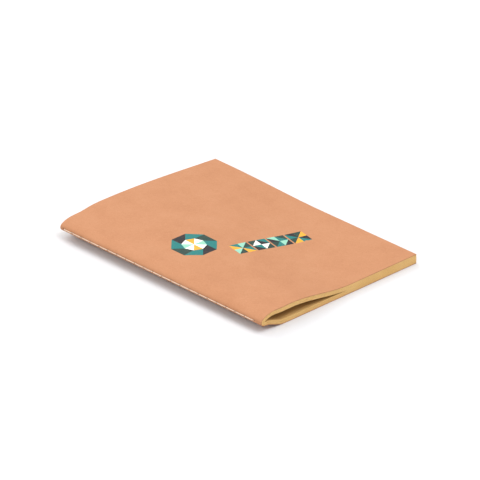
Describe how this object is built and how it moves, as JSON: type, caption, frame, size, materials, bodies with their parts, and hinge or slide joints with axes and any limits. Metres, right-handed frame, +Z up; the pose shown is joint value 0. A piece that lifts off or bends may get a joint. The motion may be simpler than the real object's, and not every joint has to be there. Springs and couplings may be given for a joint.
{
  "type": "pocket notebook",
  "caption": "Thin pocket notebook with a soft kraft card cover, sewn through the fold, lying closed with its pages arched beside the spine; opens at the middle spread.",
  "frame": {"origin": "on the face the closed book lies on, under the middle of its box", "axes": "+X from the spine to the fore-edge, +Y from the tail to the head, +Z up through the front cover"},
  "size_m": [0.1056, 0.14, 0.0098],
  "materials": {
    "kraft_card": "matte uncoated kraft card with a printed geometric frieze on the front",
    "paper": "matte cream writing paper",
    "thread": "twisted polyester sewing thread, slightly shiny"
  },
  "bodies": {
    "back_half": {"back_cover": "kraft_card", "leaf_40": "paper"},
    "spine": {"cover_spine": "kraft_card", "sheet_folds": "paper", "needle_thread": "thread", "bobbin_thread": "thread"},
    "front_cover": {"front_cover": "kraft_card"},
    "leaf_01": {"leaf_01": "paper"},
    "leaf_02": {"leaf_02": "paper"},
    "leaf_03": {"leaf_03": "paper"},
    "leaf_04": {"leaf_04": "paper"},
    "leaf_05": {"leaf_05": "paper"},
    "leaf_06": {"leaf_06": "paper"},
    "leaf_07": {"leaf_07": "paper"},
    "leaf_08": {"leaf_08": "paper"},
    "leaf_09": {"leaf_09": "paper"},
    "leaf_10": {"leaf_10": "paper"},
    "leaf_11": {"leaf_11": "paper"},
    "leaf_12": {"leaf_12": "paper"},
    "leaf_13": {"leaf_13": "paper"},
    "leaf_14": {"leaf_14": "paper"},
    "leaf_15": {"leaf_15": "paper"},
    "leaf_16": {"leaf_16": "paper"},
    "leaf_17": {"leaf_17": "paper"},
    "leaf_18": {"leaf_18": "paper"},
    "leaf_19": {"leaf_19": "paper"},
    "leaf_20": {"leaf_20": "paper"},
    "leaf_21": {"leaf_21": "paper"},
    "leaf_22": {"leaf_22": "paper"},
    "leaf_23": {"leaf_23": "paper"},
    "leaf_24": {"leaf_24": "paper"},
    "leaf_25": {"leaf_25": "paper"},
    "leaf_26": {"leaf_26": "paper"},
    "leaf_27": {"leaf_27": "paper"},
    "leaf_28": {"leaf_28": "paper"},
    "leaf_29": {"leaf_29": "paper"},
    "leaf_30": {"leaf_30": "paper"},
    "leaf_31": {"leaf_31": "paper"},
    "leaf_32": {"leaf_32": "paper"},
    "leaf_33": {"leaf_33": "paper"},
    "leaf_34": {"leaf_34": "paper"},
    "leaf_35": {"leaf_35": "paper"},
    "leaf_36": {"leaf_36": "paper"},
    "leaf_37": {"leaf_37": "paper"},
    "leaf_38": {"leaf_38": "paper"},
    "leaf_39": {"leaf_39": "paper"}
  },
  "joints": [
    {"name": "spine_turn", "type": "hinge", "parent": "back_half", "child": "spine", "pos_m": [-0.04974, 0, 0.0054], "axis": [0, -1, 0], "range_deg": [0, 85]},
    {"name": "front_cover_turn", "type": "hinge", "parent": "spine", "child": "front_cover", "pos_m": [-0.04974, 0, 0.0054], "axis": [0, -1, 0], "range_deg": [0, 85]},
    {"name": "leaf_01_turn", "type": "hinge", "parent": "spine", "child": "leaf_01", "pos_m": [-0.04974, 0, 0.0054], "axis": [0, -1, 0], "range_deg": [0, 84.56]},
    {"name": "leaf_02_turn", "type": "hinge", "parent": "spine", "child": "leaf_02", "pos_m": [-0.04974, 0, 0.0054], "axis": [0, -1, 0], "range_deg": [0, 83.91]},
    {"name": "leaf_03_turn", "type": "hinge", "parent": "spine", "child": "leaf_03", "pos_m": [-0.04974, 0, 0.0054], "axis": [0, -1, 0], "range_deg": [0, 83.14]},
    {"name": "leaf_04_turn", "type": "hinge", "parent": "spine", "child": "leaf_04", "pos_m": [-0.04974, 0, 0.0054], "axis": [0, -1, 0], "range_deg": [0, 82.3]},
    {"name": "leaf_05_turn", "type": "hinge", "parent": "spine", "child": "leaf_05", "pos_m": [-0.04974, 0, 0.0054], "axis": [0, -1, 0], "range_deg": [0, 81.38]},
    {"name": "leaf_06_turn", "type": "hinge", "parent": "spine", "child": "leaf_06", "pos_m": [-0.04974, 0, 0.0054], "axis": [0, -1, 0], "range_deg": [0, 80.41]},
    {"name": "leaf_07_turn", "type": "hinge", "parent": "spine", "child": "leaf_07", "pos_m": [-0.04974, 0, 0.0054], "axis": [0, -1, 0], "range_deg": [0, 79.39]},
    {"name": "leaf_08_turn", "type": "hinge", "parent": "spine", "child": "leaf_08", "pos_m": [-0.04974, 0, 0.0054], "axis": [0, -1, 0], "range_deg": [0, 78.33]},
    {"name": "leaf_09_turn", "type": "hinge", "parent": "spine", "child": "leaf_09", "pos_m": [-0.04974, 0, 0.0054], "axis": [0, -1, 0], "range_deg": [0, 77.22]},
    {"name": "leaf_10_turn", "type": "hinge", "parent": "spine", "child": "leaf_10", "pos_m": [-0.04974, 0, 0.0054], "axis": [0, -1, 0], "range_deg": [0, 76.08]},
    {"name": "leaf_11_turn", "type": "hinge", "parent": "spine", "child": "leaf_11", "pos_m": [-0.04974, 0, 0.0054], "axis": [0, -1, 0], "range_deg": [0, 74.89]},
    {"name": "leaf_12_turn", "type": "hinge", "parent": "spine", "child": "leaf_12", "pos_m": [-0.04974, 0, 0.0054], "axis": [0, -1, 0], "range_deg": [0, 73.69]},
    {"name": "leaf_13_turn", "type": "hinge", "parent": "spine", "child": "leaf_13", "pos_m": [-0.04974, 0, 0.0054], "axis": [0, -1, 0], "range_deg": [0, 72.45]},
    {"name": "leaf_14_turn", "type": "hinge", "parent": "spine", "child": "leaf_14", "pos_m": [-0.04974, 0, 0.0054], "axis": [0, -1, 0], "range_deg": [0, 71.17]},
    {"name": "leaf_15_turn", "type": "hinge", "parent": "spine", "child": "leaf_15", "pos_m": [-0.04974, 0, 0.0054], "axis": [0, -1, 0], "range_deg": [0, 69.87]},
    {"name": "leaf_16_turn", "type": "hinge", "parent": "spine", "child": "leaf_16", "pos_m": [-0.04974, 0, 0.0054], "axis": [0, -1, 0], "range_deg": [0, 68.55]},
    {"name": "leaf_17_turn", "type": "hinge", "parent": "spine", "child": "leaf_17", "pos_m": [-0.04974, 0, 0.0054], "axis": [0, -1, 0], "range_deg": [0, 67.2]},
    {"name": "leaf_18_turn", "type": "hinge", "parent": "spine", "child": "leaf_18", "pos_m": [-0.04974, 0, 0.0054], "axis": [0, -1, 0], "range_deg": [0, 65.83]},
    {"name": "leaf_19_turn", "type": "hinge", "parent": "spine", "child": "leaf_19", "pos_m": [-0.04974, 0, 0.0054], "axis": [0, -1, 0], "range_deg": [0, 64.43]},
    {"name": "leaf_20_turn", "type": "hinge", "parent": "spine", "child": "leaf_20", "pos_m": [-0.04974, 0, 0.0054], "axis": [0, -1, 0], "range_deg": [0, 63.01]},
    {"name": "leaf_21_turn", "type": "hinge", "parent": "spine", "child": "leaf_21", "pos_m": [-0.04974, 0, 0.0054], "axis": [0, -1, 0], "range_deg": [-69.01, 0]},
    {"name": "leaf_22_turn", "type": "hinge", "parent": "spine", "child": "leaf_22", "pos_m": [-0.04974, 0, 0.0054], "axis": [0, -1, 0], "range_deg": [-70.09, 0]},
    {"name": "leaf_23_turn", "type": "hinge", "parent": "spine", "child": "leaf_23", "pos_m": [-0.04974, 0, 0.0054], "axis": [0, -1, 0], "range_deg": [-71.16, 0]},
    {"name": "leaf_24_turn", "type": "hinge", "parent": "spine", "child": "leaf_24", "pos_m": [-0.04974, 0, 0.0054], "axis": [0, -1, 0], "range_deg": [-72.22, 0]},
    {"name": "leaf_25_turn", "type": "hinge", "parent": "spine", "child": "leaf_25", "pos_m": [-0.04974, 0, 0.0054], "axis": [0, -1, 0], "range_deg": [-73.25, 0]},
    {"name": "leaf_26_turn", "type": "hinge", "parent": "spine", "child": "leaf_26", "pos_m": [-0.04974, 0, 0.0054], "axis": [0, -1, 0], "range_deg": [-74.25, 0]},
    {"name": "leaf_27_turn", "type": "hinge", "parent": "spine", "child": "leaf_27", "pos_m": [-0.04974, 0, 0.0054], "axis": [0, -1, 0], "range_deg": [-75.24, 0]},
    {"name": "leaf_28_turn", "type": "hinge", "parent": "spine", "child": "leaf_28", "pos_m": [-0.04974, 0, 0.0054], "axis": [0, -1, 0], "range_deg": [-76.2, 0]},
    {"name": "leaf_29_turn", "type": "hinge", "parent": "spine", "child": "leaf_29", "pos_m": [-0.04974, 0, 0.0054], "axis": [0, -1, 0], "range_deg": [-77.15, 0]},
    {"name": "leaf_30_turn", "type": "hinge", "parent": "spine", "child": "leaf_30", "pos_m": [-0.04974, 0, 0.0054], "axis": [0, -1, 0], "range_deg": [-78.07, 0]},
    {"name": "leaf_31_turn", "type": "hinge", "parent": "spine", "child": "leaf_31", "pos_m": [-0.04974, 0, 0.0054], "axis": [0, -1, 0], "range_deg": [-78.95, 0]},
    {"name": "leaf_32_turn", "type": "hinge", "parent": "spine", "child": "leaf_32", "pos_m": [-0.04974, 0, 0.0054], "axis": [0, -1, 0], "range_deg": [-79.82, 0]},
    {"name": "leaf_33_turn", "type": "hinge", "parent": "spine", "child": "leaf_33", "pos_m": [-0.04974, 0, 0.0054], "axis": [0, -1, 0], "range_deg": [-80.64, 0]},
    {"name": "leaf_34_turn", "type": "hinge", "parent": "spine", "child": "leaf_34", "pos_m": [-0.04974, 0, 0.0054], "axis": [0, -1, 0], "range_deg": [-81.43, 0]},
    {"name": "leaf_35_turn", "type": "hinge", "parent": "spine", "child": "leaf_35", "pos_m": [-0.04974, 0, 0.0054], "axis": [0, -1, 0], "range_deg": [-82.19, 0]},
    {"name": "leaf_36_turn", "type": "hinge", "parent": "spine", "child": "leaf_36", "pos_m": [-0.04974, 0, 0.0054], "axis": [0, -1, 0], "range_deg": [-82.9, 0]},
    {"name": "leaf_37_turn", "type": "hinge", "parent": "spine", "child": "leaf_37", "pos_m": [-0.04974, 0, 0.0054], "axis": [0, -1, 0], "range_deg": [-83.56, 0]},
    {"name": "leaf_38_turn", "type": "hinge", "parent": "spine", "child": "leaf_38", "pos_m": [-0.04974, 0, 0.0054], "axis": [0, -1, 0], "range_deg": [-84.15, 0]},
    {"name": "leaf_39_turn", "type": "hinge", "parent": "spine", "child": "leaf_39", "pos_m": [-0.04974, 0, 0.0054], "axis": [0, -1, 0], "range_deg": [-84.66, 0]}
  ],
  "couplings": [
    {"joint": "front_cover_turn", "follows": "spine_turn", "ratio": 1},
    {"joint": "leaf_01_turn", "follows": "spine_turn", "ratio": 0.9947},
    {"joint": "leaf_02_turn", "follows": "spine_turn", "ratio": 0.987},
    {"joint": "leaf_03_turn", "follows": "spine_turn", "ratio": 0.978},
    {"joint": "leaf_04_turn", "follows": "spine_turn", "ratio": 0.9681},
    {"joint": "leaf_05_turn", "follows": "spine_turn", "ratio": 0.9573},
    {"joint": "leaf_06_turn", "follows": "spine_turn", "ratio": 0.9459},
    {"joint": "leaf_07_turn", "follows": "spine_turn", "ratio": 0.9339},
    {"joint": "leaf_08_turn", "follows": "spine_turn", "ratio": 0.9214},
    {"joint": "leaf_09_turn", "follows": "spine_turn", "ratio": 0.9083},
    {"joint": "leaf_10_turn", "follows": "spine_turn", "ratio": 0.8949},
    {"joint": "leaf_11_turn", "follows": "spine_turn", "ratio": 0.881},
    {"joint": "leaf_12_turn", "follows": "spine_turn", "ratio": 0.8668},
    {"joint": "leaf_13_turn", "follows": "spine_turn", "ratio": 0.8522},
    {"joint": "leaf_14_turn", "follows": "spine_turn", "ratio": 0.8372},
    {"joint": "leaf_15_turn", "follows": "spine_turn", "ratio": 0.8219},
    {"joint": "leaf_16_turn", "follows": "spine_turn", "ratio": 0.8063},
    {"joint": "leaf_17_turn", "follows": "spine_turn", "ratio": 0.7905},
    {"joint": "leaf_18_turn", "follows": "spine_turn", "ratio": 0.7743},
    {"joint": "leaf_19_turn", "follows": "spine_turn", "ratio": 0.7579},
    {"joint": "leaf_20_turn", "follows": "spine_turn", "ratio": 0.7412},
    {"joint": "leaf_21_turn", "follows": "spine_turn", "ratio": -0.8118},
    {"joint": "leaf_22_turn", "follows": "spine_turn", "ratio": -0.8245},
    {"joint": "leaf_23_turn", "follows": "spine_turn", "ratio": -0.8371},
    {"joint": "leaf_24_turn", "follows": "spine_turn", "ratio": -0.8495},
    {"joint": "leaf_25_turn", "follows": "spine_turn", "ratio": -0.8616},
    {"joint": "leaf_26_turn", "follows": "spine_turn", "ratio": -0.8734},
    {"joint": "leaf_27_turn", "follows": "spine_turn", "ratio": -0.8851},
    {"joint": "leaf_28_turn", "follows": "spine_turn", "ratio": -0.8964},
    {"joint": "leaf_29_turn", "follows": "spine_turn", "ratio": -0.9075},
    {"joint": "leaf_30_turn", "follows": "spine_turn", "ratio": -0.9183},
    {"joint": "leaf_31_turn", "follows": "spine_turn", "ratio": -0.9287},
    {"joint": "leaf_32_turn", "follows": "spine_turn", "ratio": -0.9389},
    {"joint": "leaf_33_turn", "follows": "spine_turn", "ratio": -0.9486},
    {"joint": "leaf_34_turn", "follows": "spine_turn", "ratio": -0.9579},
    {"joint": "leaf_35_turn", "follows": "spine_turn", "ratio": -0.9668},
    {"joint": "leaf_36_turn", "follows": "spine_turn", "ratio": -0.9752},
    {"joint": "leaf_37_turn", "follows": "spine_turn", "ratio": -0.9829},
    {"joint": "leaf_38_turn", "follows": "spine_turn", "ratio": -0.9899},
    {"joint": "leaf_39_turn", "follows": "spine_turn", "ratio": -0.9959}
  ]
}
